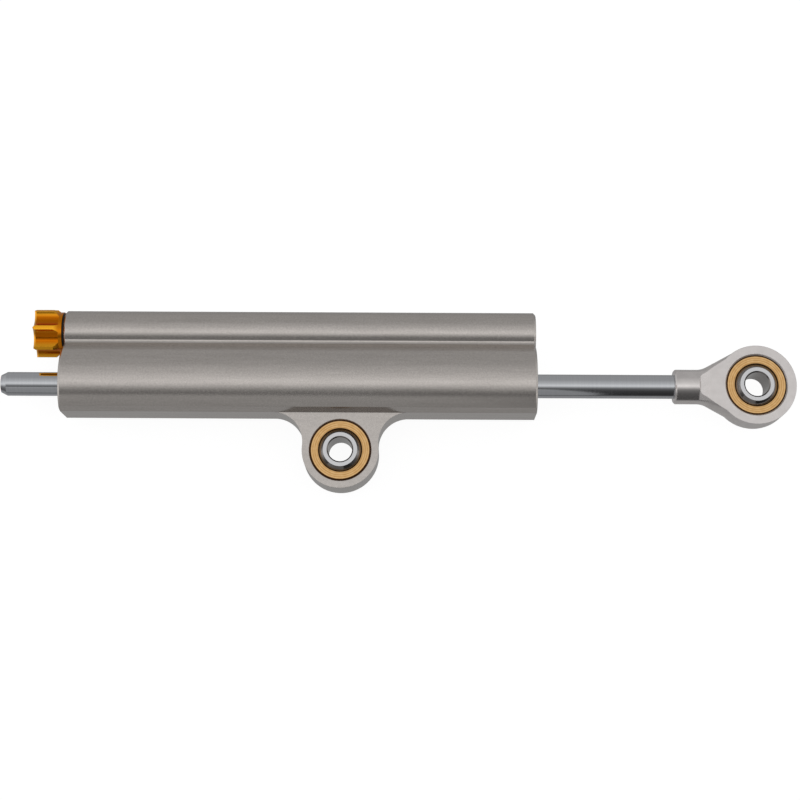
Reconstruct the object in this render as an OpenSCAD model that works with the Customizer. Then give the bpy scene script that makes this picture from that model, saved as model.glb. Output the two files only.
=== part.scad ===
// Motorcycle steering damper: a through-rod oil damper in a twin-bore body with one
// mounting lug, a ball-jointed rod end and a turning click adjuster.
// Frame: X along the rod towards its eye, Y from the lug towards the adjuster tube,
// Z along the mounting bolts. The origin is the centre of the lug's ball.

/* [Body] */
// From the lug's bolt back to the body's adjuster end
body_back = 93; // [92.6:0.1:94]
// From the lug's bolt forward to the body's rod-eye end
body_front = 65; // [64:0.1:66]
// Outer radius of the main tube
main_r = 13.8; // [13.6:0.05:14.2]
// Outer radius of the adjuster tube
side_r = 7.4; // [7.2:0.05:7.8]
// Distance between the two tube axes
tube_gap = 17.6; // [17.4:0.1:18]
// Radius of the fillet in the valley between the tubes
valley_r = 1.4; // [1:0.1:2]
// Chamfer on the ends of both tubes
end_chamfer = 0.7; // [0.3:0.1:1]
// From the main axis to the flat machined underside
flat_y = 10.35; // [10.2:0.05:10.6]
// From the main axis to the outer edge of the shallow shoulder beside that flat
shoulder_y = 9.23; // [9:0.01:9.6]

/* [Lug] */
// From the lug's bolt to the main axis
lug_drop = 22.9; // [22.6:0.1:23.6]
// Outer radius round the lug's bearing
lug_r = 12.7; // [12.4:0.1:13.2]
// Thickness of the lug
lug_t = 12.6; // [12.2:0.1:13]
// Radius of the sweep from the lug to the underside
sweep_r = 10; // [9:0.5:11]

/* [Ball joints] */
// Radius of the bolt bore through each ball
bolt_r = 4; // [3.8:0.1:4.1]
// Width of a ball over its two flat faces
ball_w = 12; // [11.8:0.1:12.4]
// Radius of a ball's flat face
ball_face_r = 5.65; // [5.5:0.05:5.8]
// Outer radius of a bearing race
race_r = 10; // [9.9:0.1:10.1]
// Width of a bearing race
race_w = 9; // [8.8:0.1:9.2]
// Chamfer at the edges of races, seats and bolt bores
edge_c = 0.4; // [0.2:0.05:0.5]

/* [Rod and rod end] */
// Radius of the piston rod
rod_r = 4; // [3.9:0.05:4]
// From the lug's bolt to the eye's bolt, along the rod
eye_x = 138.4; // [138:0.2:142]
// Length of rod tail that shows at the adjuster end
tail_len = 21; // [20.6:0.2:24]
// Outer radius of the eye
eye_r = 13.3; // [12.9:0.1:13.8]
// Thickness of the eye across its flats
eye_t = 9.6; // [9.4:0.1:10]
// Radius of the rod end's neck
neck_r = 5.8; // [5.6:0.1:6]
// From the eye's centre to the neck's end face
neck_reach = 27.1; // [26.8:0.1:27.6]
// From the eye's centre to where its flats begin
flat_reach = 17.4; // [17:0.1:18]
// Angle of the eye's tapering sides to the rod
taper_deg = 30; // [28:1:31]
// Radius of the sweep from the neck to the taper
flare_r = 9; // [8:0.5:10]
// Radius of the rod's threaded end
thread_r = 3; // [2.8:0.1:3.2]
// Length of the rod's threaded end
thread_len = 11.5; // [10:0.5:12]

/* [Piston and glands] */
// Radius of the main bore
bore_r = 9; // [8.9:0.05:9.1]
// Length of a rod gland
gland_len = 34.4; // [34:0.1:34.6]
// From a body end to the gland's outer face
gland_recess = 2.6; // [2.4:0.1:2.8]
// Length of the piston
piston_len = 14; // [13:0.5:14]
// Outer radius of the rod seals and wipers
seal_r = 7; // [6.8:0.1:7.2]
// Thickness of the rubber bump rings
bump_t = 3.4; // [3.2:0.1:3.5]
// Outer radius of the rubber bump rings
bump_r = 7.4; // [7:0.1:7.5]
// Wall of the rod bushes
bush_wall = 1; // [0.8:0.1:1.2]

/* [Adjuster] */
// Radius over the knob's ridges
knob_r = 8; // [7.7:0.1:8.3]
// Length of the knob
knob_len = 8.6; // [8.4:0.1:9]
// Number of finger flutes round the knob
flutes = 7; // [6:1:8]
// Radius of the cutter that mills a flute
flute_r = 2.7; // [2.4:0.1:2.8]
// Depth of a flute
flute_depth = 1.3; // [1:0.1:1.5]
// Length of the knob's plain rear collar
collar_len = 2.6; // [2.2:0.1:3]
// Thickness of the adjuster bush's rim
rim_t = 0.5; // [0.45:0.05:0.6]
// Radius of the adjuster spindle's stem
stem_r = 2; // [1.9:0.05:2.1]
// Number of clicks in one turn of the knob
clicks = 16; // [12:2:18]
// Radius of the hole in the bypass seat
orifice_r = 1.25; // [1.2:0.05:1.4]

/* [Reservoir] */
// Radius of the bores in the adjuster tube
side_bore_r = 5; // [4.9:0.05:5.1]
// Length of the floating separator piston
float_len = 8; // [7:0.5:8.5]
// Radius of the oil ports between the bores
port_r = 1.5; // [1.3:0.1:1.6]

/* [Clearances] */
// Radial gap between parts that slide or turn on each other
run_gap = 0.05; // [0.03:0.01:0.08]
// Axial gap at faces that turn past each other
face_gap = 0.1; // [0.08:0.01:0.15]

/* [Hidden] */
$fn = 96;
// How far a cutter runs past the face it opens
cut = 1;
// How far a form that would only touch another is let into it
let_in = 0.03;
mid_z = -(lug_t - race_w) / 2;
main_y = lug_drop;
side_y = main_y + tube_gap;
back_x = -body_back;
front_x = body_front;
body_len = body_front + body_back;
ball_r = sqrt(pow(ball_w / 2, 2) + pow(ball_face_r, 2));
race_mouth_r = sqrt(pow(ball_r + run_gap, 2) - pow(race_w / 2, 2));
race_shoulder_r = race_r - 1.5;
tail_x = back_x - tail_len;
neck_x = eye_x - neck_reach;
// Inner faces of the two glands
chamber_back_x = back_x + gland_recess + gland_len;
chamber_front_x = front_x - gland_recess - gland_len;
clip_t = 1;
thin_clip_t = 0.8;
clip_depth = 0.6;
// Section radii of the small and the large O-rings
o_small = 0.5;
o_big = 0.7;
// An O-ring's groove is wider than the ring by this factor
groove_fit = 1.3;
// Gland stations from its outer face inwards
wiper_w = 3.5;
seal_x = 6;
seal_w = 4;
gland_groove_x = 14;
bush_len = 16;
relief = 0.3;
// The piston stands 45 mm from one end of its stroke and 18 mm from the other
piston_x = -7.5;
piston_r = bore_r - run_gap;
band_w = 3.2;
band_t = 0.9;
rod_clip_in_r = rod_r - 0.5;
rod_clip_out_r = rod_r + 1.6;
// Adjuster stations along X
knob_back_x = back_x - rim_t - face_gap;
knob_face_x = knob_back_x - knob_len;
stem_x = knob_face_x + 2.8;
screw_head_t = 1.8;
screw_head_r = 2.3;
screw_r = 1.1;
screw_len = 6;
rim_r = 6.7;
bush_in = 20;
bush_end_x = back_x + bush_in;
bush_groove_in = 5;
bush_groove_x = back_x + bush_groove_in;
collar_r = 3;
collar_in = 6.4;
collar_x = bush_end_x - collar_in;
collar_w = 2;
spindle_clip_t = 0.6;
spindle_clip_x = collar_x + collar_w + face_gap;
spindle_clip_r = collar_r + 0.4;
spindle_groove_in = 9;
spindle_groove_x = back_x + spindle_groove_in;
spindle_out = 10;
spindle_end_x = bush_end_x + spindle_out;
key_r = 0.65;
key_off = 3.95;
key_x = bush_end_x - 2.5;
key_len = 11.5;
needle_gap = 3;
needle_x = bush_end_x + needle_gap;
needle_len = 10;
needle_r = side_bore_r - run_gap;
needle_stem_r = 2.2;
needle_stem_len = 5;
needle_cone_x = needle_x + needle_len + needle_stem_len;
needle_cone_len = 4.5;
needle_tip_x = needle_cone_x + needle_cone_len;
needle_tip_r = 0.4;
// The needle's tip stands 1 mm inside its seat
needle_entry = 1;
seat_x = needle_tip_x - needle_entry;
seat_w = 3.5;
gallery_r = 2;
port_back_x = chamber_back_x + port_r + 0.3;
port_front_x = chamber_front_x - port_r - 0.3;
port_plug_len = 1.9;
// Click balls and their springs in the knob's back
click_r = 0.75;
click_mid = 5.2;
click_lift = face_gap - 0.02;
click_x = knob_back_x + click_lift - click_r;
click_hole = 3.2;
spring_wall = 0.3;
// Reservoir stations along X
reservoir_x = chamber_front_x - 10;
plug_clip_x = front_x - 2.8;
side_plug_len = 8;
side_plug_x = plug_clip_x - side_plug_len;
float_x = 36;
float_r = side_bore_r - run_gap;
fill_x = 2;
fill_r = 2;
fill_len = 4;
fill_top = side_r - 0.4;

// Places children drawn about the X axis on the main tube's axis or the side tube's
module on_main() {
    translate([0, main_y, mid_z]) children();
}

module on_side() {
    translate([0, side_y, mid_z]) children();
}

// Places a gland part, drawn from x = 0 inwards, at the rear or turned round in front
module at_rear() {
    translate([back_x + gland_recess, main_y, mid_z]) children();
}

module at_front() {
    translate([front_x - gland_recess, main_y, mid_z]) rotate([0, 0, 180]) children();
}

module at_glands() {
    at_rear() children();
    at_front() children();
}

// A solid turned about X; its outline is a list of [x, radius] points
module turned(outline) {
    rotate([0, 90, 0]) rotate_extrude() polygon([for (p = outline) [p[1], p[0]]]);
}

// A plain round bar along X
module bar(x, len, r) {
    translate([x, 0, 0]) rotate([0, 90, 0]) cylinder(h = len, r = r);
}

// A plain ring about X
module ring(x, len, r_in, r_out) {
    turned([[x, r_in], [x + len, r_in], [x + len, r_out], [x, r_out]]);
}

// An O-ring about X that reaches out to a given radius
module o_ring(x, out_r, section_r) {
    translate([x, 0, 0]) rotate([0, 90, 0])
        rotate_extrude() translate([out_r - section_r, 0]) circle(r = section_r, $fn = 32);
}

// The groove such a ring sits in, cut from the outside
module o_groove(x, out_r, section_r) {
    ring(x - groove_fit * section_r, 2 * groove_fit * section_r, out_r - 2 * section_r,
        out_r + cut);
}

// A flat outline in the Y-Z plane, drawn out along X
module along_x(x, len) {
    translate([x, 0, 0]) rotate([90, 0, 90]) linear_extrude(len) children();
}

// An inward snap ring with a gap and two drilled ears
module snap_ring(x, thick, out_r, width, ear_r, gap_deg) {
    mid_r = out_r - width - ear_r * 0.6;
    ear_deg = gap_deg / 2 + asin(ear_r / mid_r);
    difference() {
        union() {
            difference() {
                ring(x, thick, out_r - width, out_r);
                along_x(x - cut, thick + 2 * cut)
                    polygon([[0, 0], [2 * out_r, 2 * out_r * tan(gap_deg / 2)],
                        [2 * out_r, -2 * out_r * tan(gap_deg / 2)]]);
            }
            for (side = [-1, 1])
                rotate([side * ear_deg, 0, 0]) translate([0, mid_r, 0]) bar(x, thick, ear_r);
        }
        for (side = [-1, 1])
            rotate([side * ear_deg, 0, 0]) translate([0, mid_r, 0])
                bar(x - cut, thick + 2 * cut, ear_r * 0.45);
    }
}

// Outer form of a tube: a bar with chamfered ends
module tube_blank(r) {
    turned([[back_x, 0], [back_x, r - end_chamfer], [back_x + end_chamfer, r],
        [front_x - end_chamfer, r], [front_x, r - end_chamfer], [front_x, 0]]);
}

// Metal between the tubes: a flank that leaves the main tube at 45 degrees on each side
// and meets the side tube in a fillet. Each is let in a little, so that no two faces
// only graze each other
module valley_web() {
    near_r = main_r - let_in;
    flank = near_r / sqrt(2);
    line = (near_r + valley_r) * sqrt(2);
    reach = side_r + valley_r - let_in;
    fillet_y = (tube_gap + line - sqrt(2 * pow(reach, 2) - pow(line - tube_gap, 2))) / 2;
    fillet_z = line - fillet_y;
    step = valley_r / sqrt(2);
    on_main() along_x(back_x + end_chamfer, body_len - 2 * end_chamfer) difference() {
        polygon([[0, 0], [flank, flank], [fillet_y - step, fillet_z - step],
            [fillet_y, fillet_z], [tube_gap, 0], [fillet_y, -fillet_z],
            [fillet_y - step, step - fillet_z], [flank, -flank]]);
        for (side = [-1, 1])
            translate([fillet_y, side * fillet_z]) circle(r = valley_r);
    }
}

// What is machined off under the main tube: a flat with a shallow shoulder each side
module underside_cut() {
    wide = main_r + cut;
    flat_z = lug_t / 2 + let_in;
    shoulder_z = sqrt(pow(main_r, 2) - pow(shoulder_y, 2));
    rise = (flat_y - shoulder_y) / (shoulder_z - flat_z);
    wide_y = flat_y - rise * (wide - flat_z);
    on_main() along_x(back_x - cut, body_len + 2 * cut)
        polygon([[-wide, -wide], [-wide_y, -wide], [-flat_y, -flat_z], [-flat_y, flat_z],
            [-wide_y, wide], [-wide, wide]]);
}

// The lug: a round end that sweeps out into the underside
module lug_plate() {
    under_y = main_y - flat_y;
    sweep_y = under_y - sweep_r + let_in;
    sweep_x = sqrt(pow(lug_r + sweep_r, 2) - pow(sweep_y, 2));
    translate([0, 0, mid_z - lug_t / 2]) linear_extrude(lug_t) union() {
        circle(r = lug_r);
        difference() {
            polygon([[0, 0], [sweep_x, sweep_y], [sweep_x, under_y + 0.5],
                [-sweep_x, under_y + 0.5], [-sweep_x, sweep_y]]);
            for (side = [-1, 1])
                translate([side * sweep_x, sweep_y]) circle(r = sweep_r);
        }
    }
}

// Cutter for a race's seat: a bore with a lead-in chamfer, over a narrower shoulder hole
module race_seat() {
    top = race_w / 2;
    rotate_extrude() polygon([[0, -3 * top], [race_shoulder_r, -3 * top],
        [race_shoulder_r, -top], [race_r, -top], [race_r, top - edge_c],
        [race_r + edge_c + cut, top + cut], [race_r + edge_c + cut, 2 * top], [0, 2 * top]]);
}

// The main bore runs right through; its clip grooves hold the glands in
module main_bore_cut() {
    bar(back_x - cut, body_len + 2 * cut, bore_r);
    bar(back_x + gland_recess - clip_t, clip_t, bore_r + clip_depth);
    bar(front_x - gland_recess, clip_t, bore_r + clip_depth);
}

// Valve bore, gallery, reservoir, the cross-drilled ports and the filler hole
module side_bore_cut() {
    bar(back_x - cut, seat_x + seat_w - back_x + cut, side_bore_r);
    bar(seat_x, reservoir_x - seat_x + cut, gallery_r);
    bar(reservoir_x, front_x - reservoir_x + cut, side_bore_r);
    bar(plug_clip_x, thin_clip_t, side_bore_r + clip_depth);
    for (x = [port_back_x, port_front_x])
        translate([x, bore_r - tube_gap - cut, 0]) rotate([-90, 0, 0])
            cylinder(h = tube_gap - bore_r + side_r + 2 * cut, r = port_r, $fn = 48);
    translate([fill_x, 0, 0]) rotate([-90, 0, 0]) cylinder(h = side_r, r = fill_r / 2, $fn = 48);
    translate([fill_x, fill_top - fill_len, 0]) rotate([-90, 0, 0])
        cylinder(h = fill_len + 2 * cut, r = fill_r, $fn = 48);
}

module housing() {
    color("#8d8883") difference() {
        union() {
            difference() {
                union() {
                    on_main() tube_blank(main_r);
                    on_side() tube_blank(side_r);
                    valley_web();
                }
                underside_cut();
            }
            lug_plate();
        }
        on_main() main_bore_cut();
        on_side() side_bore_cut();
        race_seat();
    }
}

// A bronze race: a ring with a spherical seat for its ball
module race() {
    top = race_w / 2;
    lip = edge_c / 2;
    mouth = race_mouth_r + lip;
    difference() {
        rotate_extrude() polygon([[mouth - cut, lip - top], [mouth, lip - top],
            [mouth + lip, -top], [race_r - edge_c, -top], [race_r, edge_c - top],
            [race_r, top - edge_c], [race_r - edge_c, top], [mouth + lip, top],
            [mouth, top - lip], [mouth - cut, top - lip]]);
        sphere(r = ball_r + run_gap);
    }
}

// A drilled ball with two flat faces
module ball() {
    half = ball_w / 2;
    difference() {
        intersection() {
            sphere(r = ball_r);
            cube([3 * ball_r, 3 * ball_r, ball_w], center = true);
        }
        rotate_extrude() polygon([[0, -half - cut], [bolt_r + edge_c + cut, -half - cut],
            [bolt_r, edge_c - half], [bolt_r, half - edge_c],
            [bolt_r + edge_c + cut, half + cut], [0, half + cut]]);
    }
}

module lug_race() {
    color("#c8a064") race();
}

module eye_race() {
    color("#c8a064") translate([eye_x, main_y, mid_z]) race();
}

module lug_ball() {
    color("#6d6a68") ball();
}

module eye_ball() {
    color("#6d6a68") translate([eye_x, main_y, mid_z]) ball();
}

// A rod gland, drawn with its outer face at x = 0
module gland() {
    difference() {
        ring(0, gland_len, rod_r + relief, bore_r);
        bar(-cut, wiper_w + cut, seal_r);
        bar(seal_x, seal_w, seal_r);
        bar(gland_len - bush_len, bush_len + cut, rod_r + run_gap + bush_wall);
        o_groove(gland_groove_x, bore_r, o_big);
    }
}

module rear_gland() {
    color("#b9babd") at_rear() gland();
}

module front_gland() {
    color("#b9babd") at_front() gland();
}

module gland_o_rings() {
    color("#1b1b1b") at_glands() o_ring(gland_groove_x, bore_r, o_big);
}

module rod_bushes() {
    color("#a5834e") at_glands() ring(gland_len - bush_len, bush_len, rod_r + run_gap,
        rod_r + run_gap + bush_wall);
}

// U-cup seals: rings with a vee channel open towards the oil
module rod_seals() {
    inner_r = rod_r + run_gap;
    color("#22303c") at_glands() turned([[seal_x, inner_r], [seal_x + seal_w, inner_r],
        [seal_x + 0.4 * seal_w, (inner_r + seal_r) / 2], [seal_x + seal_w, seal_r],
        [seal_x, seal_r]]);
}

// Wiper rings whose lip leans out along the rod
module rod_wipers() {
    inner_r = rod_r + run_gap;
    lip = 0.6;
    color("#1d1d1d") at_glands() turned([[-lip, inner_r], [wiper_w, inner_r],
        [wiper_w, seal_r], [lip, seal_r], [lip, inner_r + 2 * lip], [-lip, inner_r + 0.4]]);
}

module gland_clips() {
    color("#3a3a3c") at_glands() rotate([180, 0, 0])
        snap_ring(-clip_t, clip_t, bore_r + clip_depth, 1.9, 1.1, 40);
}

module bump_rings() {
    color("#2a2624") at_glands() ring(gland_len, bump_t, rod_r + 2 * relief, bump_r);
}

// The chromed rod with its chamfered tail, two clip grooves and threaded end
module piston_rod() {
    tail_c = 1;
    thread_c = 0.6;
    color("#c9cdd2") on_main() difference() {
        turned([[tail_x, 0], [tail_x, rod_r - tail_c], [tail_x + 2 * tail_c, rod_r],
            [neck_x, rod_r], [neck_x, thread_r], [neck_x + thread_len - thread_c, thread_r],
            [neck_x + thread_len, thread_r - thread_c], [neck_x + thread_len, 0]]);
        for (x = [piston_x, piston_x + piston_len - thin_clip_t])
            ring(x, thin_clip_t, rod_clip_in_r, rod_r + cut);
    }
}

// The piston's wear band sits over an O-ring in one groove; a clip is let into each end
module piston() {
    edge = 1.2;
    end_x = piston_x + piston_len;
    color("#b4b6b9") on_main() difference() {
        turned([[piston_x, rod_r], [piston_x, piston_r - edge], [piston_x + edge, piston_r],
            [end_x - edge, piston_r], [end_x, piston_r - edge], [end_x, rod_r]]);
        ring(piston_x + (piston_len - band_w) / 2, band_w, piston_r - band_t - 2 * o_big,
            piston_r + cut);
        bar(piston_x - cut, thin_clip_t + cut, rod_clip_out_r + run_gap);
        bar(end_x - thin_clip_t, thin_clip_t + cut, rod_clip_out_r + run_gap);
    }
}

module piston_band() {
    color("#3e6a58") on_main() ring(piston_x + (piston_len - band_w) / 2, band_w,
        piston_r - band_t, piston_r);
}

module piston_o_ring() {
    color("#1b1b1b") on_main() o_ring(piston_x + piston_len / 2, piston_r - band_t, o_big);
}

module piston_clips() {
    gap = 2.4;
    color("#3a3a3c") on_main() for (x = [piston_x, piston_x + piston_len - thin_clip_t])
        difference() {
            ring(x, thin_clip_t, rod_clip_in_r, rod_clip_out_r);
            translate([x - cut, -gap / 2, 0])
                cube([thin_clip_t + 2 * cut, gap, 2 * rod_clip_out_r]);
        }
}

// The rod end's turned form: neck, sweep and taper up to the round of the eye
module eye_blank() {
    inside = eye_r - 2 * let_in;
    meet_x = (neck_r * cos(taper_deg) - inside) / sin(taper_deg);
    sweep_x = meet_x - flare_r * tan(taper_deg / 2);
    steps = 10;
    sweep = [for (i = [1 : steps]) let (a = taper_deg * i / steps)
        [sweep_x + flare_r * sin(a), neck_r + flare_r * (1 - cos(a))]];
    neck_c = 0.6;
    turned(concat([[-neck_reach, 0], [-neck_reach, neck_r - neck_c],
        [-neck_reach + neck_c, neck_r], [sweep_x, neck_r]], sweep,
        [[-inside * sin(taper_deg), inside * cos(taper_deg)], [0, inside * cos(taper_deg)],
        [0, 0]]));
}

// What is milled off above and below the eye, with the cutter's round run-out
module eye_flats() {
    runout_r = 2;
    for (side = [0, 1])
        mirror([0, 0, side]) {
            translate([-flat_reach, -2 * eye_r, eye_t / 2])
                cube([flat_reach + 2 * eye_r, 4 * eye_r, eye_r]);
            translate([-flat_reach, 0, eye_t / 2 + runout_r]) rotate([90, 0, 0])
                cylinder(h = 4 * eye_r, r = runout_r, center = true, $fn = 48);
        }
}

module rod_end() {
    color("#b7b3af") translate([eye_x, main_y, mid_z]) difference() {
        union() {
            eye_blank();
            cylinder(h = eye_t, r = eye_r, center = true);
        }
        eye_flats();
        race_seat();
        bar(-neck_reach - cut, thread_len + 0.5 + cut, thread_r);
    }
}

// The knob: a fluted turning with a plain bevelled collar at its back
module adjuster_knob() {
    edge = 0.4;
    color("#e08a12") on_side() difference() {
        turned([[knob_face_x, 0], [knob_face_x, knob_r - edge], [knob_face_x + edge, knob_r],
            [knob_back_x - collar_len + 1, knob_r], [knob_back_x, knob_r - 1.3],
            [knob_back_x, 0]]);
        for (i = [0 : flutes - 1])
            rotate([(i + 0.5) * 360 / flutes, 0, 0])
                translate([0, 0, knob_r - flute_depth + flute_r])
                    bar(knob_face_x - cut, knob_len - collar_len + cut, flute_r);
        bar(stem_x, knob_len, stem_r);
        bar(knob_face_x - cut, knob_len, screw_r);
        bar(knob_face_x - cut, screw_head_t + cut, screw_head_r);
        for (side = [-1, 1])
            translate([0, side * click_mid, 0])
                bar(knob_back_x - click_hole, click_hole + cut, click_r + run_gap);
    }
}

module click_balls() {
    color("#c9cdd2") on_side() for (side = [-1, 1])
        translate([click_x, side * click_mid, 0]) sphere(r = click_r, $fn = 32);
}

// Small coil springs behind the click balls, drawn as plain sleeves
module click_springs() {
    spring_x = knob_back_x - click_hole;
    spring_in_r = click_r - spring_wall;
    seat_back = sqrt(pow(click_r, 2) - pow(spring_in_r, 2));
    color("#8d9095") on_side() for (side = [-1, 1])
        translate([0, side * click_mid, 0])
            ring(spring_x, click_x - seat_back - spring_x, spring_in_r, click_r);
}

// The spindle: stem into the knob, thrust collar, and left-hand thread into the needle
module adjuster_spindle() {
    tap_len = screw_len + screw_head_t + 0.5 - (stem_x - knob_face_x);
    color("#9b9ea3") on_side() difference() {
        turned([[stem_x, 0], [stem_x, stem_r], [collar_x, stem_r], [collar_x, collar_r],
            [collar_x + collar_w, collar_r], [collar_x + collar_w, stem_r],
            [spindle_end_x - 0.5, stem_r], [spindle_end_x, stem_r - 0.5],
            [spindle_end_x, 0]]);
        bar(stem_x - cut, tap_len + cut, screw_r);
    }
}

module knob_screw() {
    head_x = knob_face_x + screw_head_t;
    color("#55565a") on_side() difference() {
        turned([[knob_face_x, 0], [knob_face_x, screw_head_r - 0.2],
            [knob_face_x + 0.2, screw_head_r], [head_x, screw_head_r], [head_x, screw_r],
            [head_x + screw_len, screw_r], [head_x + screw_len, 0]]);
        translate([knob_face_x - cut, 0, 0]) rotate([0, 90, 0])
            cylinder(h = cut + 1, r = 1.2, $fn = 6);
    }
}

// The black bush that carries the spindle, with a ring of click dimples on its rim
module adjuster_bush() {
    color("#232325") on_side() difference() {
        turned([[back_x - rim_t, stem_r + run_gap], [back_x - rim_t, rim_r],
            [back_x, rim_r], [back_x, side_bore_r], [bush_end_x, side_bore_r],
            [bush_end_x, collar_r + run_gap], [collar_x - face_gap, collar_r + run_gap],
            [collar_x - face_gap, stem_r + run_gap]]);
        o_groove(bush_groove_x, side_bore_r, o_small);
        ring(spindle_groove_x - groove_fit * o_small, 2 * groove_fit * o_small,
            stem_r, stem_r + run_gap + 2 * o_small);
        ring(spindle_clip_x, spindle_clip_t, collar_r, spindle_clip_r);
        translate([0, 0, key_off]) bar(key_x, key_len, key_r);
        for (i = [0 : clicks - 1])
            rotate([i * 360 / clicks, 0, 0])
                translate([back_x - rim_t - click_r + 0.2, click_mid, 0])
                    sphere(r = click_r, $fn = 32);
    }
}

module bush_o_ring() {
    color("#1b1b1b") on_side() o_ring(bush_groove_x, side_bore_r, o_small);
}

module spindle_o_ring() {
    color("#1b1b1b") on_side()
        o_ring(spindle_groove_x, stem_r + run_gap + 2 * o_small, o_small);
}

module spindle_clip() {
    gap = 1.6;
    color("#3a3a3c") on_side() difference() {
        ring(spindle_clip_x, spindle_clip_t, stem_r + relief, spindle_clip_r);
        translate([spindle_clip_x - cut, -gap / 2, -2 * collar_r])
            cube([spindle_clip_t + 2 * cut, gap, 2 * collar_r]);
    }
}

module key_pin() {
    color("#8d9095") on_side() translate([0, 0, key_off]) bar(key_x, key_len, key_r);
}

// The needle: a keyed, threaded slide with a long taper that enters the seat
module needle() {
    front = needle_x + needle_len;
    color("#b99a5b") on_side() difference() {
        turned([[needle_x, 0], [needle_x, needle_r], [front, needle_r],
            [front, needle_stem_r], [needle_cone_x, needle_stem_r],
            [needle_tip_x, needle_tip_r], [needle_tip_x, 0]]);
        bar(needle_x - cut, needle_len - 1.2 + cut, stem_r + run_gap);
        translate([0, 0, key_off]) bar(needle_x - cut, needle_len - 2.5 + cut, key_r + run_gap);
        o_groove(front - 1.4, needle_r, o_small);
    }
}

module needle_o_ring() {
    color("#1b1b1b") on_side() o_ring(needle_x + needle_len - 1.4, needle_r, o_small);
}

module needle_seat() {
    color("#b4b6b9") on_side() turned([[seat_x, orifice_r], [seat_x, side_bore_r],
        [seat_x + seat_w, side_bore_r], [seat_x + seat_w, gallery_r],
        [seat_x + 2, orifice_r]]);
}

module port_plugs() {
    color("#8d8883") on_side() for (x = [port_back_x, port_front_x])
        translate([x, side_r - 0.2 - port_plug_len, 0]) rotate([-90, 0, 0])
            cylinder(h = port_plug_len, r = port_r, $fn = 48);
}

module fill_screw() {
    color("#55565a") on_side() translate([fill_x, fill_top - fill_len, 0])
        rotate([-90, 0, 0]) difference() {
            cylinder(h = fill_len, r = fill_r, $fn = 48);
            translate([0, 0, fill_len - 1.8]) cylinder(h = 1.8 + cut, r = 1.15, $fn = 6);
        }
}

// The gas-backed compensator: a floating piston, an end plug and its snap ring
module separator_piston() {
    color("#b4b6b9") on_side() difference() {
        bar(float_x, float_len, float_r);
        o_groove(float_x + float_len / 2, float_r, o_small);
        bar(float_x + float_len - 2, 2 + cut, float_r - 1.6);
    }
}

module separator_o_ring() {
    color("#1b1b1b") on_side() o_ring(float_x + float_len / 2, float_r, o_small);
}

module reservoir_plug() {
    color("#b4b6b9") on_side() difference() {
        bar(side_plug_x, side_plug_len, side_bore_r);
        o_groove(side_plug_x + side_plug_len / 2, side_bore_r, o_small);
        bar(side_plug_x + side_plug_len - 3, 3 + cut, 1.5);
    }
}

module plug_o_ring() {
    color("#1b1b1b") on_side()
        o_ring(side_plug_x + side_plug_len / 2, side_bore_r, o_small);
}

module plug_clip() {
    color("#3a3a3c") on_side()
        snap_ring(plug_clip_x, thin_clip_t, side_bore_r + clip_depth, 1.4, 0.8, 50);
}

housing();
lug_race();
rear_gland();
front_gland();
gland_o_rings();
rod_bushes();
rod_seals();
rod_wipers();
gland_clips();
bump_rings();
adjuster_bush();
bush_o_ring();
spindle_o_ring();
spindle_clip();
key_pin();
needle_seat();
port_plugs();
fill_screw();
reservoir_plug();
plug_o_ring();
plug_clip();
piston_rod();
piston();
piston_band();
piston_o_ring();
piston_clips();
rod_end();
eye_race();
adjuster_knob();
adjuster_spindle();
knob_screw();
click_balls();
click_springs();
needle();
needle_o_ring();
lug_ball();
eye_ball();
separator_piston();
separator_o_ring();
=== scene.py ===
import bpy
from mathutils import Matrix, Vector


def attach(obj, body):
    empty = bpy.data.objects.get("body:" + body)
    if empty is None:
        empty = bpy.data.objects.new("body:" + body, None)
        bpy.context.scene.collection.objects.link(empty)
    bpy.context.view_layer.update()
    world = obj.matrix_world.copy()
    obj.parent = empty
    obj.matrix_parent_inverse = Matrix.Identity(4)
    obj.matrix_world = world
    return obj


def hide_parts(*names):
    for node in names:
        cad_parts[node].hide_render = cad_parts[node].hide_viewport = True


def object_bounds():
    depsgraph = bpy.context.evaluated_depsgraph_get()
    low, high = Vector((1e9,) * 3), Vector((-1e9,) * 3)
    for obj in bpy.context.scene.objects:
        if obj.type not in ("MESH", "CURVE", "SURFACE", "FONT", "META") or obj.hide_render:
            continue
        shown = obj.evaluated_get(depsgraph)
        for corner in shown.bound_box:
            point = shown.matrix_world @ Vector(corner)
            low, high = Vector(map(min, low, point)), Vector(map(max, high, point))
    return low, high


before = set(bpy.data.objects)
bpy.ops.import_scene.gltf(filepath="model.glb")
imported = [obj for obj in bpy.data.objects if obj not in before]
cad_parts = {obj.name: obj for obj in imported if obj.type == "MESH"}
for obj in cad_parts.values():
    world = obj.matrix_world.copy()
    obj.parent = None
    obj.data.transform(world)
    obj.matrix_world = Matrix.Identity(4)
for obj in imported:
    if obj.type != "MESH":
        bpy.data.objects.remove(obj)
cad_box = [list(corner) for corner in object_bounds()]

import math

import bpy

MM = 0.001
ROD_Y = 22.9 * MM
TUBE_Y = 40.5 * MM
MID_Z = -1.8 * MM
FLOOR_Z = cad_box[0][2]
LUG_CENTRE = (0, 0, 0)
EYE_X = 138.4 * MM
EYE_CENTRE = (EYE_X, ROD_Y, MID_Z)
# The eye: half of the width between its flats, how far they reach towards the neck, and
# the stations, as (distance from its middle, radius) in mm, where the taper rounds into it
EYE_HALF = 4.8 * MM
FLAT_REACH = 17.4 * MM
EYE_ROUNDING = ((-9.5, 10.26), (-8.0, 11.1), (-6.8, 11.75), (-5.6, 12.3), (-4.4, 12.75),
                (-3.0, 13.08), (0, 13.2))
# Half of the width of each ball, and the radii in mm between which the races carry no painted
# shade
BALL_HALF = 6.0 * MM
RACE_LIPS = (7.35, 9.7)
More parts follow.
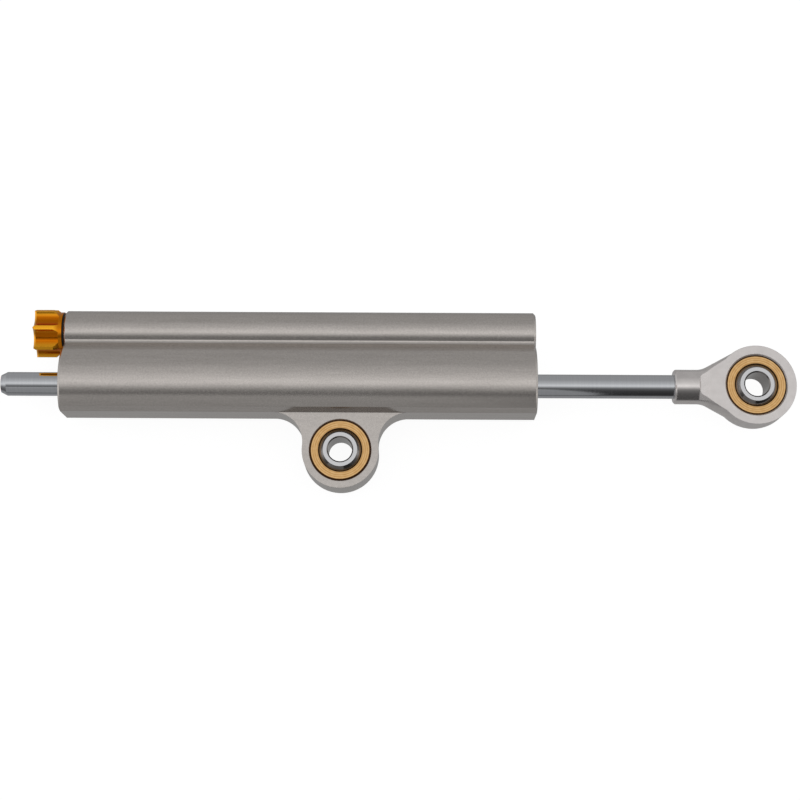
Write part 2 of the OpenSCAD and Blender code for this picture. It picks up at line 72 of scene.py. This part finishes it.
# The knob's left face, where its cone begins, where its flange begins, and its back
KNOB_X = [x * MM for x in (-103.0, -96.4, -94.8, -93.6)]
KNOB_R = 8.25 * MM
FLANGE_R = 6.95 * MM
RECESS_R = 2.3 * MM
# The knob's flutes: how many, how far their floors lie from its axis, the radius of their
# cutter, where they end, and how far their bevelled mouths reach in from the face
FLUTES = 7
FLUTE_FLOOR = 6.25 * MM
FLUTE_R = 3.7 * MM
FLUTE_END = KNOB_X[2] + 0.05 * MM
MOUTH = 0.65 * MM
# Corners nearer than this are joined, and edges flatter than this are shaded smooth
WELD = 0.01 * MM
SMOOTH = math.radians(32)


def linear(hex_colour):
    """An sRGB hex colour as the linear values that a shader takes."""
    parts = [int(hex_colour[i:i + 2], 16) / 255 for i in (1, 3, 5)]
    return [p / 12.92 if p <= 0.04045 else ((p + 0.055) / 1.055) ** 2.4 for p in parts] + [1.0]


def add(tree, kind, settings=None, **inputs):
    """A node with its settings, and its inputs set to values or linked to sockets."""
    node = tree.nodes.new(kind)
    for name, value in (settings or {}).items():
        setattr(node, name, value)
    for name, value in inputs.items():
        key = int(name[1:]) if name[0] == "i" and name[1:].isdigit() else name.replace("_", " ")
        if isinstance(value, bpy.types.NodeSocket):
            tree.links.new(value, node.inputs[key])
        else:
            node.inputs[key].default_value = value
    return node


def new_finish(name, **shader):
    """A new material with one Principled shader; returns it, its tree and the shader."""
    material = bpy.data.materials.new(name)
    material.use_nodes = True
    tree = material.node_tree
    tree.nodes.clear()
    surface = add(tree, "ShaderNodeBsdfPrincipled", **shader)
    add(tree, "ShaderNodeOutputMaterial", Surface=surface.outputs["BSDF"])
    return material, tree, surface


def place(tree, scale=(1, 1, 1), location=(0, 0, 0)):
    """Object coordinates, stretched and shifted for a pattern."""
    where = add(tree, "ShaderNodeTexCoord")
    return add(tree, "ShaderNodeMapping", Vector=where.outputs["Object"], Location=location,
               Scale=scale).outputs["Vector"]


def along_x(tree):
    """How far along the rod's direction a point lies."""
    return add(tree, "ShaderNodeSeparateXYZ", Vector=place(tree)).outputs["X"]


def out_from(tree, centre, axes):
    """How far a point lies from a centre, counting only the axes marked 1."""
    x, y, z = centre
    flat = add(tree, "ShaderNodeVectorMath", {"operation": "MULTIPLY"}, i1=axes,
               i0=place(tree, location=(-x, -y, -z)))
    return add(tree, "ShaderNodeVectorMath", {"operation": "LENGTH"},
               i0=flat.outputs["Vector"]).outputs["Value"]


def noise(tree, size, detail, stretch=(1, 1, 1), roughness=0.5):
    """Cloudy noise with a grain of a real size; a stretch below 1 draws it out that way."""
    return add(tree, "ShaderNodeTexNoise", Vector=place(tree, stretch), Scale=1 / size,
               Detail=detail, Roughness=roughness).outputs["Fac"]


def ramp(tree, value, low, high, dark, light):
    """A two-stop colour ramp between sRGB hex colours."""
    node = add(tree, "ShaderNodeValToRGB", Fac=value)
    node.color_ramp.elements[0].position = low
    node.color_ramp.elements[1].position = high
    node.color_ramp.elements[0].color = linear(dark)
    node.color_ramp.elements[1].color = linear(light)
    return node.outputs["Color"]


def span(tree, value, low, high, out_low, out_high):
    """A value carried from one range to another."""
    return add(tree, "ShaderNodeMapRange", Value=value, i1=low, i2=high, i3=out_low,
               i4=out_high).outputs["Result"]


def maths(tree, operation, first, second):
    """Two values worked into one."""
    return add(tree, "ShaderNodeMath", {"operation": operation}, i0=first, i1=second).outputs[0]


def blend(tree, share, first, second, kind="MIX"):
    """Two colours blended, by a share of the second from 0 to 1."""
    return add(tree, "ShaderNodeMix", {"data_type": "RGBA", "blend_type": kind}, i0=share,
               i6=first, i7=second).outputs[2]


def relief(tree, surface, height, depth, strength, edge=0.0):
    """Bump of a real depth in metres over edges that a bevel shader softens."""
    bump = add(tree, "ShaderNodeBump", Height=height, Distance=depth, Strength=strength)
    if edge:
        soft = add(tree, "ShaderNodeBevel", {"samples": 4}, Radius=edge)
        tree.links.new(soft.outputs["Normal"], bump.inputs["Normal"])
    tree.links.new(bump.outputs["Normal"], surface.inputs["Normal"])


def put(finish, *names):
    """Gives CAD nodes one finish."""
    for name in names:
        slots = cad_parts[name].data.materials
        slots.clear()
        slots.append(finish)


def blasted_hard_anodise():
    """Bead-blasted aluminium, hard anodised: a warm grey satin that sparkles very finely."""
    finish, tree, surface = new_finish("blasted_hard_anodise", Metallic=1.0)
    # The extrusion leaves faint streaks along the tubes under the blasting
    cloud = noise(tree, 1.5 * MM, 4.0, stretch=(0.08, 1, 1), roughness=0.65)
    # Blasting grit is about 0.15 mm; it is drawn at 0.6 mm so that it shows
    grit = noise(tree, 0.6 * MM, 3.0, roughness=0.7)
    tone = ramp(tree, cloud, 0.3, 0.7, "#c5bfba", "#cec8c3")
    speck = ramp(tree, grit, 0.32, 0.68, "#eeeeee", "#ffffff")
    tree.links.new(blend(tree, 1.0, tone, speck, "MULTIPLY"), surface.inputs["Base Color"])
    tree.links.new(span(tree, grit, 0.3, 0.7, 0.2, 0.25), surface.inputs["Roughness"])
    relief(tree, surface, grit, 0.01 * MM, 0.5, 0.2 * MM)
    return finish


def fine_milled_aluminium():
    """Clear-anodised aluminium: the neck is turned bright, the eye is milled to a soft satin."""
    finish, tree, surface = new_finish("fine_milled_aluminium", Metallic=0.92)
    # Tool feed marks, 0.12 mm apart on the real part, drawn at 0.3 mm
    feed = noise(tree, 0.3 * MM, 2.0, stretch=(1, 0.04, 0.04))
    cloud = noise(tree, 3 * MM, 3.0)
    tree.links.new(ramp(tree, cloud, 0.3, 0.7, "#dad5d3", "#e3dedc"),
                   surface.inputs["Base Color"])
    # The lathe's bright finish gives way to satin where the flats begin
    satin = span(tree, along_x(tree), EYE_X - 18.5 * MM, EYE_X - 15 * MM, 0.11, 0.34)
    tree.links.new(satin, surface.inputs["Roughness"])
    relief(tree, surface, feed, 0.004 * MM, 0.5, 0.25 * MM)
    return finish


def turned_aluminium():
    """Plain turned aluminium of the glands, pistons and plugs."""
    finish, tree, surface = new_finish("turned_aluminium", Metallic=1.0, Roughness=0.32)
    lathe = noise(tree, 0.25 * MM, 1.0, stretch=(1, 0.05, 0.05))
    tree.links.new(ramp(tree, lathe, 0.3, 0.7, "#a9a9ab", "#bcbcbe"),
                   surface.inputs["Base Color"])
    relief(tree, surface, lathe, 0.005 * MM, 0.5, 0.2 * MM)
    return finish


def gold_anodise():
    """Bright-dipped aluminium, anodised gold, yellow on the ridges, with painted shade that turns
    it deep orange in the flutes.
    """
    finish, tree, surface = new_finish("gold_anodise", Metallic=1.0)
    mill = noise(tree, 0.4 * MM, 1.0, stretch=(0.08, 1, 1))
    # Painted shade: the floors of the flutes and the screw's recess are coloured a deeper orange
    # than the ridges
    out = out_from(tree, (0, TUBE_Y, MID_Z), (0, 1, 1))
    high = span(tree, out, 6.7 * MM, 8.0 * MM, 0, 1)
    # The face with its bevelled mouths, and the steps that end the flutes, are kept out of the
    # painted shade and stay bright
    deep = KNOB_X[0] + MOUTH
    front = maths(tree, "MULTIPLY",
                  span(tree, along_x(tree), deep + 0.02 * MM, deep - 0.02 * MM, 0, 1),
                  span(tree, out, RECESS_R + 0.02 * MM, RECESS_R + 0.04 * MM, 0, 1))
    steps = span(tree, out_from(tree, (FLUTE_END, 0, 0), (1, 0, 0)), 0.004 * MM, 0.008 * MM,
                 1, 0)
    cut = maths(tree, "MAXIMUM", front, steps)
    # Painted shade: the flutes take this deep orange, and the ridges the plain gold yellow
    shaded_gold = ramp(tree, mill, 0.25, 0.75, "#c66a06", "#d0720a")
    tree.links.new(blend(tree, maths(tree, "MAXIMUM", high, cut), shaded_gold, linear("#ffb42c")),
                   surface.inputs["Base Color"])
    tree.links.new(span(tree, mill, 0.3, 0.7, 0.14, 0.22), surface.inputs["Roughness"])
    relief(tree, surface, mill, 0.003 * MM, 0.4, 0.15 * MM)
    return finish


def black_anodise():
    """Aluminium anodised black, satin."""
    finish, tree, surface = new_finish("black_anodise", Metallic=0.6, Roughness=0.4)
    tree.links.new(ramp(tree, noise(tree, 0.4 * MM, 1.0), 0.3, 0.7, "#161617", "#222224"),
                   surface.inputs["Base Color"])
    return finish


def hard_chrome():
    """Ground and polished hard chrome: a mirror with the faintest rings from grinding."""
    finish, tree, surface = new_finish("hard_chrome", Metallic=1.0)
    grind = noise(tree, 0.5 * MM, 1.0, stretch=(1, 0.02, 0.02))
    tree.links.new(ramp(tree, grind, 0.3, 0.7, "#c0c2c6", "#c6c8cb"),
                   surface.inputs["Base Color"])
    tree.links.new(span(tree, grind, 0.3, 0.7, 0.06, 0.08), surface.inputs["Roughness"])
    relief(tree, surface, grind, 0.0005 * MM, 0.2, 0.2 * MM)
    return finish


def bearing_bronze(name, centre, lips=None):
    """Turned bronze: warm, satin, with fine rings, and painted shade in dark brown on its lips,
    where it meets its seat and the ball.
    """
    finish, tree, surface = new_finish(name, Metallic=1.0, Roughness=0.3)
    x, y, z = centre
    spot = place(tree, location=(-x, -y, -z))
    # Turning rings, 0.1 mm apart on the real race, are drawn at 0.7 mm, because the wave
    # texture's rings lie 0.314 of its unit apart
    rings = add(tree, "ShaderNodeTexWave", {"wave_type": "RINGS", "rings_direction": "Z"},
                Vector=spot, Scale=1 / (2.205 * MM), Distortion=0.6, Detail=1.0).outputs["Fac"]
    stain = add(tree, "ShaderNodeTexNoise", Vector=spot, Scale=1 / (1.5 * MM),
                Detail=3.0).outputs["Fac"]
    both = add(tree, "ShaderNodeMix", {"data_type": "FLOAT"}, i0=0.6, i2=rings, i3=stain)
    colour = ramp(tree, both.outputs[0], 0.25, 0.75, "#cc9c60", "#ecc38a")
    # Painted shade: the lips, where the race meets its seat and the ball, are coloured dark brown
    if lips:
        reach = out_from(tree, centre, (1, 1, 0))
        inner = span(tree, reach, (lips[0] - 0.15) * MM, lips[0] * MM, 1.0, 0.0)
        outer = span(tree, reach, (lips[1] - 0.1) * MM, lips[1] * MM, 0.0, 1.0)
        colour = blend(tree, maths(tree, "MAXIMUM", inner, outer), colour, linear("#4a2f1a"))
    tree.links.new(colour, surface.inputs["Base Color"])
    relief(tree, surface, rings, 0.004 * MM, 0.5)
    return finish


def bearing_steel(name, centre):
    """Hardened bearing steel, smooth: bright on the flat faces around the bore, with painted
    shade on the sphere and in the bore.
    """
    finish, tree, surface = new_finish(name, Metallic=1.0)
    haze = noise(tree, 2.5 * MM, 3.0)
    # The bright ring runs on the ball's two flat faces, from the bore's mouth, at 4.4 mm, out to
    # their edge; the sphere and the bore are painted darker as shade
    faced = span(tree, out_from(tree, centre, (0, 0, 1)), BALL_HALF - 0.02 * MM,
                 BALL_HALF - 0.01 * MM, 0, 1)
    clear = span(tree, out_from(tree, centre, (1, 1, 0)), 4.3 * MM, 4.5 * MM, 0, 1)
    # Painted shade: this darker grey colours the sphere and the bore
    dark = ramp(tree, haze, 0.3, 0.7, "#7f7a77", "#8f8b88")
    tree.links.new(blend(tree, maths(tree, "MULTIPLY", faced, clear), dark, linear("#d6d6d8")),
                   surface.inputs["Base Color"])
    tree.links.new(span(tree, haze, 0.3, 0.7, 0.12, 0.2), surface.inputs["Roughness"])
    relief(tree, surface, haze, 0.002 * MM, 0.3)
    return finish


def small_steel(name, dark, light, rough):
    """Small steel pieces, plain or blackened, with an even fine grain."""
    finish, tree, surface = new_finish(name, Metallic=1.0, Roughness=rough)
    grain = noise(tree, 0.6 * MM, 2.0)
    tree.links.new(ramp(tree, grain, 0.3, 0.7, dark, light), surface.inputs["Base Color"])
    relief(tree, surface, grain, 0.003 * MM, 0.4, 0.15 * MM)
    return finish


def moulded(name, dark, light, rough):
    """Moulded rubber or plastic: matt, dark, with a soft bloom."""
    finish, tree, surface = new_finish(name, Metallic=0.0, Roughness=rough)
    bloom = noise(tree, 1.5 * MM, 2.0)
    tree.links.new(ramp(tree, bloom, 0.3, 0.7, dark, light), surface.inputs["Base Color"])
    relief(tree, surface, bloom, 0.01 * MM, 0.4)
    return finish


def turned_bar(name, radius, end_radius, length, middle, turn, sides):
    """A turned bar, or a cone where an end radius is given, with its place in its mesh."""
    bpy.ops.object.select_all(action="DESELECT")
    bpy.ops.mesh.primitive_cone_add(
        vertices=sides, radius1=radius, radius2=radius if end_radius is None else end_radius,
        depth=length, rotation=turn, location=middle)
    bpy.ops.object.transform_apply(location=True, rotation=True, scale=True)
    bar = bpy.context.active_object
    bar.name = name
    return bar


def bar_along_x(name, start, end, radius, end_radius=None, at=(TUBE_Y, MID_Z), sides=96):
    """A bar or cone along X; at is where its axis stands in Y and Z."""
    return turned_bar(name, radius, end_radius, end - start, ((start + end) / 2, *at),
                      turn=(0, math.pi / 2, 0), sides=sides)


def bar_along_z(name, low, high, radius, high_radius=None):
    """A bar or cone along the eye's bolt; low and high are counted from the eye's middle."""
    return turned_bar(name, radius, high_radius, high - low,
                      (EYE_X, ROD_Y, MID_Z + (low + high) / 2), turn=(0, 0, 0), sides=160)


def take_up(piece):
    """Makes one piece the only selected one."""
    bpy.ops.object.select_all(action="DESELECT")
    bpy.context.view_layer.objects.active = piece
    piece.select_set(True)


def carve(blank, cutter, join=False):
    """Cuts one solid out of another, or joins it on, and takes the cutter away."""
    cut = blank.modifiers.new("carve", "BOOLEAN")
    cut.operation = "UNION" if join else "DIFFERENCE"
    cut.solver = "EXACT"
    cut.object = cutter
    take_up(blank)
    bpy.ops.object.modifier_apply(modifier=cut.name)
    bpy.data.objects.remove(cutter, do_unlink=True)


def draw_out(turning, stations, at=(TUBE_Y, MID_Z)):
    """Draws a turned blank's far end along X through stations of (x, radius)."""
    take_up(turning)
    near = 0.001 * MM
    x = max(corner.co.x for corner in turning.data.vertices)
    radius = max(abs(corner.co.y - at[0]) for corner in turning.data.vertices
                 if corner.co.x > x - near)
    for corner in turning.data.vertices:
        corner.select = corner.co.x > x - near
    for edge in turning.data.edges:
        edge.select = all(turning.data.vertices[v].select for v in edge.vertices)
    for face in turning.data.polygons:
        face.select = face.normal.x > 0.9
    bpy.ops.object.mode_set(mode="EDIT")
    bpy.ops.mesh.select_mode(type="FACE")
    for next_x, next_radius in stations:
        bpy.ops.mesh.extrude_region_move(TRANSFORM_OT_translate={"value": (next_x - x, 0, 0)})
        share = next_radius / radius
        bpy.ops.transform.resize(value=(1, share, share), center_override=(0, *at))
        x, radius = next_x, next_radius
    bpy.ops.object.mode_set(mode="OBJECT")


def true_up(piece):
    """Joins the corners that the cuts left close together and shades smooth between edges."""
    take_up(piece)
    bpy.ops.object.mode_set(mode="EDIT")
    bpy.ops.mesh.select_all(action="SELECT")
    # Which corner of a close pair stays depends on their order, so that is made the same
    bpy.ops.mesh.sort_elements(type="CURSOR_DISTANCE", elements={"VERT"})
    bpy.ops.mesh.remove_doubles(threshold=WELD)
    bpy.ops.object.mode_set(mode="OBJECT")
    bpy.ops.object.shade_smooth_by_angle(angle=SMOOTH)


def stand_for(piece, node, body, finish):
    """Gives a new piece its finish and its body, and hides the CAD node that it shows."""
    piece.data.materials.clear()
    piece.data.materials.append(finish)
    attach(piece, body)
    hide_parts(node)


def cut_flute(knob, turn):
    """Cuts one flute, which runs out just past the cone, and its bevelled mouth."""
    away = FLUTE_FLOOR + FLUTE_R
    at = (TUBE_Y - away * math.sin(turn), MID_Z + away * math.cos(turn))
    flute = bar_along_x("flute", KNOB_X[0] - MOUTH, KNOB_X[0] + MOUTH, FLUTE_R + 2 * MOUTH,
                        FLUTE_R, at=at, sides=64)
    draw_out(flute, [(FLUTE_END, FLUTE_R)], at)
    carve(knob, flute)


def fluted_knob(finish):
    """The adjuster knob: seven wide finger flutes with bevelled mouths leave narrow ridges."""
    face, back, past = KNOB_X[0], KNOB_X[3], 1 * MM
    knob = bar_along_x("fluted_knob", face, KNOB_X[1], KNOB_R)
    draw_out(knob, [(KNOB_X[2], FLANGE_R), (back, FLANGE_R)])
    for i in range(FLUTES):
        cut_flute(knob, (i + 0.5) * math.tau / FLUTES)
    # The screw's recess and hole, the stem's bore, and the click balls' holes
    carve(knob, bar_along_x("recess", face - past, face + 2.6 * MM, RECESS_R))
    carve(knob, bar_along_x("hole", face + past, back + past, 1.1 * MM, sides=48))
    carve(knob, bar_along_x("stem_bore", face + 3.6 * MM, back + past, 2.0 * MM))
    for side in (-1, 1):
        carve(knob, bar_along_x("click_hole", back - 3.2 * MM, back + past, 0.8 * MM,
                                at=(TUBE_Y + side * 5.2 * MM, MID_Z), sides=32))
    true_up(knob)
    stand_for(knob, "adjuster_knob", "adjuster", finish)


def mill_flat(eye, side):
    """Mills one flat of the eye and the cutter's round run-out where the neck begins."""
    past, wide, deep, runout = 20 * MM, 60 * MM, 10 * MM, 2.0 * MM
    bpy.ops.object.select_all(action="DESELECT")
    bpy.ops.mesh.primitive_cube_add(
        size=1, scale=(FLAT_REACH + past, wide, deep),
        location=(EYE_X + (past - FLAT_REACH) / 2, ROD_Y, MID_Z + side * (EYE_HALF + deep / 2)))
    bpy.ops.object.transform_apply(location=True, rotation=True, scale=True)
    carve(eye, bpy.context.active_object)
    # The round cutter goes 0.02 mm below the flat, so that the two cuts cross cleanly
    bpy.ops.object.select_all(action="DESELECT")
    bpy.ops.mesh.primitive_cylinder_add(
        vertices=96, radius=runout, depth=wide, rotation=(math.pi / 2, 0, 0),
        location=(EYE_X - FLAT_REACH, ROD_Y, MID_Z + side * (EYE_HALF + runout - 0.02 * MM)))
    bpy.ops.object.transform_apply(location=True, rotation=True, scale=True)
    carve(eye, bpy.context.active_object)


def machined_rod_end(finish):
    """The rod end: a neck swept into a full taper, turned from the bar, and a flat round eye."""
    neck_r, flare_r, eye_r, taper = 5.8 * MM, 7 * MM, 13.3 * MM, math.radians(28.5)
    # The neck's line and the taper's would meet 17.71 mm before the eye's middle
    sweep, steps = -17.71 * MM - flare_r * math.tan(taper / 2), 10
    stations = [(sweep, neck_r)]
    for i in range(1, steps + 1):
        a = taper * i / steps
        stations.append((sweep + flare_r * math.sin(a), neck_r + flare_r * (1 - math.cos(a))))
    stations += [(x * MM, radius * MM) for x, radius in EYE_ROUNDING]
    axis = (ROD_Y, MID_Z)
    # The blank is the chamfer at the neck's end, from which the rest is drawn out
    end = bar_along_x("machined_rod_end", EYE_X - 27.1 * MM, EYE_X - 26.6 * MM,
                      neck_r - 0.5 * MM, neck_r, at=axis, sides=128)
    draw_out(end, [(EYE_X + x, radius) for x, radius in stations], axis)
    carve(end, bar_along_z("eye_disc", -6 * MM, 6 * MM, eye_r), join=True)
    for side in (-1, 1):
        mill_flat(end, side)
    # The race's seat, open in front, with a shoulder behind it and a bevelled mouth
    past = 12 * MM
    carve(end, bar_along_z("shoulder", -past, past, 8.5 * MM))
    carve(end, bar_along_z("seat", -4.5 * MM, past, 10.0 * MM))
    carve(end, bar_along_z("mouth", 3.85 * MM, 5.35 * MM, 9.5 * MM, 11.0 * MM))
    carve(end, bar_along_x("thread_hole", EYE_X - 28 * MM, EYE_X - 15.1 * MM, 3.0 * MM,
                           at=axis, sides=64))
    true_up(end)
    stand_for(end, "rod_end", "rod", finish)


def pale_floor():
    """A plain white light table under the part, level with its lowest point."""
    bpy.ops.object.select_all(action="DESELECT")
    bpy.ops.mesh.primitive_plane_add(size=6.0, location=(0, 0, FLOOR_Z))
    floor = bpy.context.active_object
    floor.name = "pale_floor"
    finish = new_finish("white_paper", Roughness=0.9, Base_Color=linear("#6e6e6e"),
                        Emission_Color=linear("#ffffff"), Emission_Strength=0.93)[0]
    floor.data.materials.append(finish)
    floor.visible_glossy = False


def soft_light(name, place_at, turn, width, height, glow):
    """A rectangular studio light; glow is its brightness, where 1 shows as white."""
    lamp = bpy.data.lights.new(name, "AREA")
    lamp.shape = "RECTANGLE"
    lamp.size, lamp.size_y = width, height
    lamp.energy = glow * math.pi * width * height
    holder = bpy.data.objects.new(name, lamp)
    bpy.context.scene.collection.objects.link(holder)
    holder.location = place_at
    holder.rotation_euler = (math.radians(turn), 0, 0)


# How bright the studio looks from the part, by the sideways slant of the gaze from -1 (the
# lug's side) through 0 (straight up at the camera's ceiling) to 1 (the adjuster's side)
STUDIO_GLOW = [(-1.0, 0.04), (-0.8, 0.07), (-0.58, 0.15), (-0.42, 0.28), (-0.24, 0.66),
               (-0.10, 0.98), (0.02, 0.92), (0.31, 0.70), (0.62, 0.56), (0.80, 0.46),
               (1.0, 0.44)]
GROUND_GLOW = 0.36


def studio_walls():
    """A studio lit from its ceiling, dim on the lug's side, over a pale ground."""
    world = bpy.data.worlds.new("studio_walls")
    bpy.context.scene.world = world
    world.use_nodes = True
    tree = world.node_tree
    gaze = add(tree, "ShaderNodeTexCoord").outputs["Generated"]
    way = add(tree, "ShaderNodeSeparateXYZ", Vector=gaze)
    shade = add(tree, "ShaderNodeValToRGB", Fac=span(tree, way.outputs["Y"], -1, 1, 0, 1))
    stops = shade.color_ramp.elements
    while len(stops) < len(STUDIO_GLOW):
        stops.new(0.5)
    for stop, (slant, glow) in zip(stops, STUDIO_GLOW):
        stop.position = (slant + 1) / 2
        stop.color = (glow, glow, glow, 1)
    below = span(tree, way.outputs["Z"], -0.25, -0.5, 0.0, 1.0)
    walls = blend(tree, below, shade.outputs["Color"], (GROUND_GLOW, GROUND_GLOW, GROUND_GLOW, 1))
    # Straight past the part, the walls are plain white like the floor
    straight = add(tree, "ShaderNodeLightPath").outputs["Is Camera Ray"]
    tree.links.new(blend(tree, straight, walls, (1, 1, 1, 1)),
                   tree.nodes["Background"].inputs["Color"])


def studio():
    """The studio's walls, and one dim screen that stands low down on the lug's side."""
    studio_walls()
    soft_light("low_side", place_at=(-0.40, -0.90, 0.445), turn=90, width=1.17, height=1.39,
               glow=0.31)
    bpy.context.scene.view_settings.view_transform = "Standard"


def photo_camera():
    """The camera that a fit of the photograph's outline gave."""
    lens = bpy.data.cameras.new("photo_camera")
    lens.sensor_width = 36
    lens.lens = 80.56
    lens.clip_end = 10
    camera = bpy.data.objects.new("photo_camera", lens)
    bpy.context.scene.collection.objects.link(camera)
    camera.location = (0.0216, -0.0943, 0.5876)
    camera.rotation_mode = "ZXY"
    camera.rotation_euler = (0.1883, 0.0033, 0.0054)
    bpy.context.scene.camera = camera


photo_camera()
put(blasted_hard_anodise(), "housing", "port_plugs")
machined_rod_end(fine_milled_aluminium())
put(turned_aluminium(), "rear_gland", "front_gland", "reservoir_plug", "piston",
    "separator_piston")
fluted_knob(gold_anodise())
put(black_anodise(), "adjuster_bush")
put(hard_chrome(), "piston_rod")
put(bearing_bronze("lug_bronze", LUG_CENTRE, RACE_LIPS), "lug_race")
put(bearing_bronze("eye_bronze", EYE_CENTRE, RACE_LIPS), "eye_race")
put(bearing_bronze("bush_bronze", (0, ROD_Y, MID_Z)), "rod_bushes", "needle")
put(bearing_steel("lug_ball_steel", LUG_CENTRE), "lug_ball")
put(bearing_steel("eye_ball_steel", EYE_CENTRE), "eye_ball")
put(small_steel("blackened_steel", "#2c2c2d", "#3a3a3c", 0.35), "gland_clips", "plug_clip",
    "piston_clips", "spindle_clip", "knob_screw", "fill_screw")
put(small_steel("plain_steel", "#9a9b9d", "#a9aaac", 0.3), "key_pin", "adjuster_spindle",
    "click_springs", "needle_seat", "click_balls")
put(moulded("nitrile_rubber", "#141414", "#202020", 0.55), "gland_o_rings", "rod_wipers",
    "bump_rings", "bush_o_ring", "spindle_o_ring", "plug_o_ring", "piston_o_ring",
    "needle_o_ring", "separator_o_ring")
put(moulded("seal_polyurethane", "#1c2a36", "#26384a", 0.4), "rod_seals")
put(moulded("wear_band", "#335a4c", "#406e5c", 0.5), "piston_band")
pale_floor()
studio()
